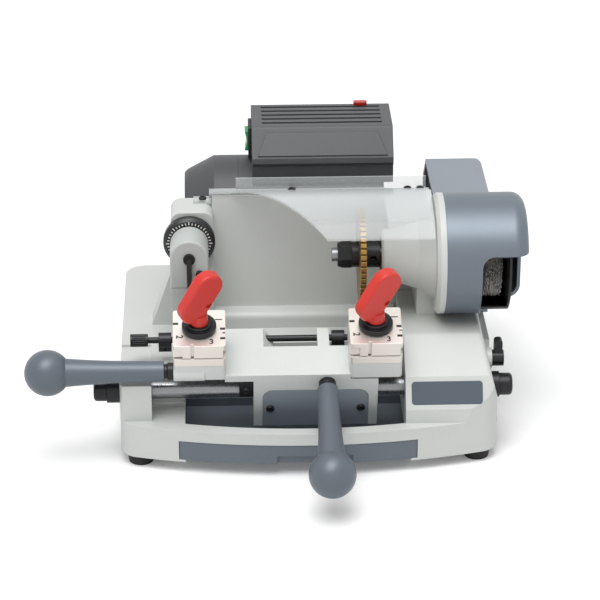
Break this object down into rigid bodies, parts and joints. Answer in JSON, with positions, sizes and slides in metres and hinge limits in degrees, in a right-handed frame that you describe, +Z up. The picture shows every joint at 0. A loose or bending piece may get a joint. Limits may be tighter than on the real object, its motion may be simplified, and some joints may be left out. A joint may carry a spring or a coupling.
{
  "type": "key duplicating machine",
  "caption": "Bench machine that copies flat keys: twin-clamp carriage on a shaft swings to a tracer and a toothed cutter, with motor, belt drive, wire brush, shield and chip tray",
  "frame": {"origin": "the middle of the four foot bolts, on the bench", "axes": "+X to the operator's right, +Y away from the operator, +Z up"},
  "size_m": [0.426, 0.373, 0.237],
  "materials": {
    "body_paint": "satin light grey paint",
    "carriage_paint": "satin near-white paint",
    "blue_grey": "fine-grained blue-grey",
    "dark_grey": "fine-grained charcoal",
    "panel_grey": "smooth charcoal film",
    "black_plastic": "moulded black",
    "black_rubber": "matt black",
    "bright_steel": "ground",
    "nickel": "satin nickel plate",
    "dark_steel": "blackened",
    "pulley_aluminium": "turned",
    "gold_coating": "gold hard coating",
    "black_dial": "black anodised look with pale marks",
    "red_plastic": "gloss red",
    "brush_wire": "wire ends",
    "clear_plastic": "clear sheet",
    "lamp_red": "translucent red",
    "switch_green": "translucent green"
  },
  "bodies": {
    "base": {"base_casting": "body_paint", "name_plate": "blue_grey", "rubber_feet": "black_rubber", "shaft_bushes": "dark_steel", "head_casting": "body_paint", "spindle_bearings": "bright_steel", "drive_belt": "black_rubber", "brush_hood": "blue_grey", "brush_housing": "black_plastic", "belt_cover": "blue_grey", "motor_housing": "dark_grey", "motor_end_cap": "dark_grey", "electrical_box": "dark_grey", "box_panel": "panel_grey", "pilot_lamp": "lamp_red", "switch_bezel": "black_plastic", "power_inlet": "black_plastic", "clear_shield": "clear_plastic", "shield_screws": "dark_steel"},
    "tray": {"chip_tray": "blue_grey"},
    "shaft": {"carriage_shaft": "bright_steel", "shaft_end_caps": "dark_steel"},
    "carriage": {"carriage_casting": "carriage_paint", "carriage_cover_plate": "blue_grey", "cover_plate_screws": "dark_steel", "stop_bracket": "dark_steel", "front_handle_ferrule": "dark_steel", "front_handle_grip": "blue_grey", "side_handle_ferrule": "dark_steel", "side_handle_grip": "blue_grey", "left_clamp_lower_jaw": "nickel", "right_clamp_lower_jaw": "nickel", "left_clamp_spring": "dark_steel", "right_clamp_spring": "dark_steel", "left_clamp_stud": "bright_steel", "right_clamp_stud": "bright_steel"},
    "gauge": {"gauge_rod": "dark_steel", "gauge_knob": "dark_steel", "gauge_hubs": "dark_steel"},
    "left_jaw": {"left_clamp_upper_jaw": "nickel", "left_clamp_washer": "dark_steel"},
    "right_jaw": {"right_clamp_upper_jaw": "nickel", "right_clamp_washer": "dark_steel"},
    "left_knob": {"left_clamp_knob": "red_plastic"},
    "right_knob": {"right_clamp_knob": "red_plastic"},
    "lock": {"lock_knob": "dark_steel"},
    "quill": {"tracer_quill": "body_paint", "tracer_point": "dark_steel", "tracer_clamp_screw": "dark_steel"},
    "dial": {"tracer_dial": "black_dial"},
    "spindle": {"spindle_shaft": "bright_steel", "cutter": "gold_coating", "cutter_nut": "dark_steel", "cutter_collars": "dark_steel", "spindle_pulley": "pulley_aluminium", "wire_brush": "brush_wire"},
    "motor": {"motor_rotor": "bright_steel", "motor_pulley": "pulley_aluminium"},
    "rocker": {"switch_rocker": "switch_green"}
  },
  "joints": [
    {"name": "tray_slide", "type": "slide", "parent": "base", "child": "tray", "axis": [0, -1, 0], "range_m": [0, 0.052]},
    {"name": "carriage_tilt", "type": "hinge", "parent": "base", "child": "shaft", "pos_m": [0, -0.098, 0.06], "axis": [-1, 0, 0], "range_deg": [0, 16]},
    {"name": "carriage_slide", "type": "slide", "parent": "shaft", "child": "carriage", "axis": [1, 0, 0], "range_m": [-0.032, 0.002]},
    {"name": "gauge_turn", "type": "hinge", "parent": "carriage", "child": "gauge", "pos_m": [0, -0.07087, 0.093], "axis": [1, 0, 0], "range_deg": [0, 100]},
    {"name": "tracer_dial_turn", "type": "hinge", "parent": "base", "child": "dial", "pos_m": [-0.1, 0, 0.1555], "axis": [0, 1, 0], "range_deg": [-380, 380]},
    {"name": "tracer_slide", "type": "slide", "parent": "base", "child": "quill", "axis": [0, 1, 0], "range_m": [-0.001, 0.001]},
    {"name": "spindle_spin", "type": "hinge", "parent": "base", "child": "spindle", "pos_m": [0, -0.035, 0.1546], "axis": [1, 0, 0], "continuous": true},
    {"name": "motor_spin", "type": "hinge", "parent": "base", "child": "motor", "pos_m": [0, 0.085, 0.146], "axis": [1, 0, 0], "continuous": true},
    {"name": "switch_rock", "type": "hinge", "parent": "base", "child": "rocker", "pos_m": [-0.044, 0.091, 0.213], "axis": [0, 1, 0], "range_deg": [-7, 7]},
    {"name": "lock_turn", "type": "hinge", "parent": "base", "child": "lock", "pos_m": [0.157, -0.08, 0.076], "axis": [1, 0, 0], "range_deg": [-45, 45]},
    {"name": "left_jaw_lift", "type": "slide", "parent": "carriage", "child": "left_jaw", "axis": [0, -0.309, 0.9511], "range_m": [-0.000625, 0]},
    {"name": "left_knob_turn", "type": "hinge", "parent": "left_jaw", "child": "left_knob", "pos_m": [-0.092, -0.09134, 0.06216], "axis": [0, -0.309, 0.9511], "range_deg": [-170, 20]},
    {"name": "right_jaw_lift", "type": "slide", "parent": "carriage", "child": "right_jaw", "axis": [0, -0.309, 0.9511], "range_m": [-0.000625, 0]},
    {"name": "right_knob_turn", "type": "hinge", "parent": "right_jaw", "child": "right_knob", "pos_m": [0.0555, -0.09134, 0.06216], "axis": [0, -0.309, 0.9511], "range_deg": [-170, 20]}
  ],
  "couplings": [
    {"joint": "tracer_dial_turn", "follows": "tracer_slide", "rad_per_m": 6283.2},
    {"joint": "spindle_spin", "follows": "motor_spin", "ratio": 1.3},
    {"joint": "left_knob_turn", "follows": "left_jaw_lift", "rad_per_m": 4188.8},
    {"joint": "right_knob_turn", "follows": "right_jaw_lift", "rad_per_m": 4188.8}
  ]
}
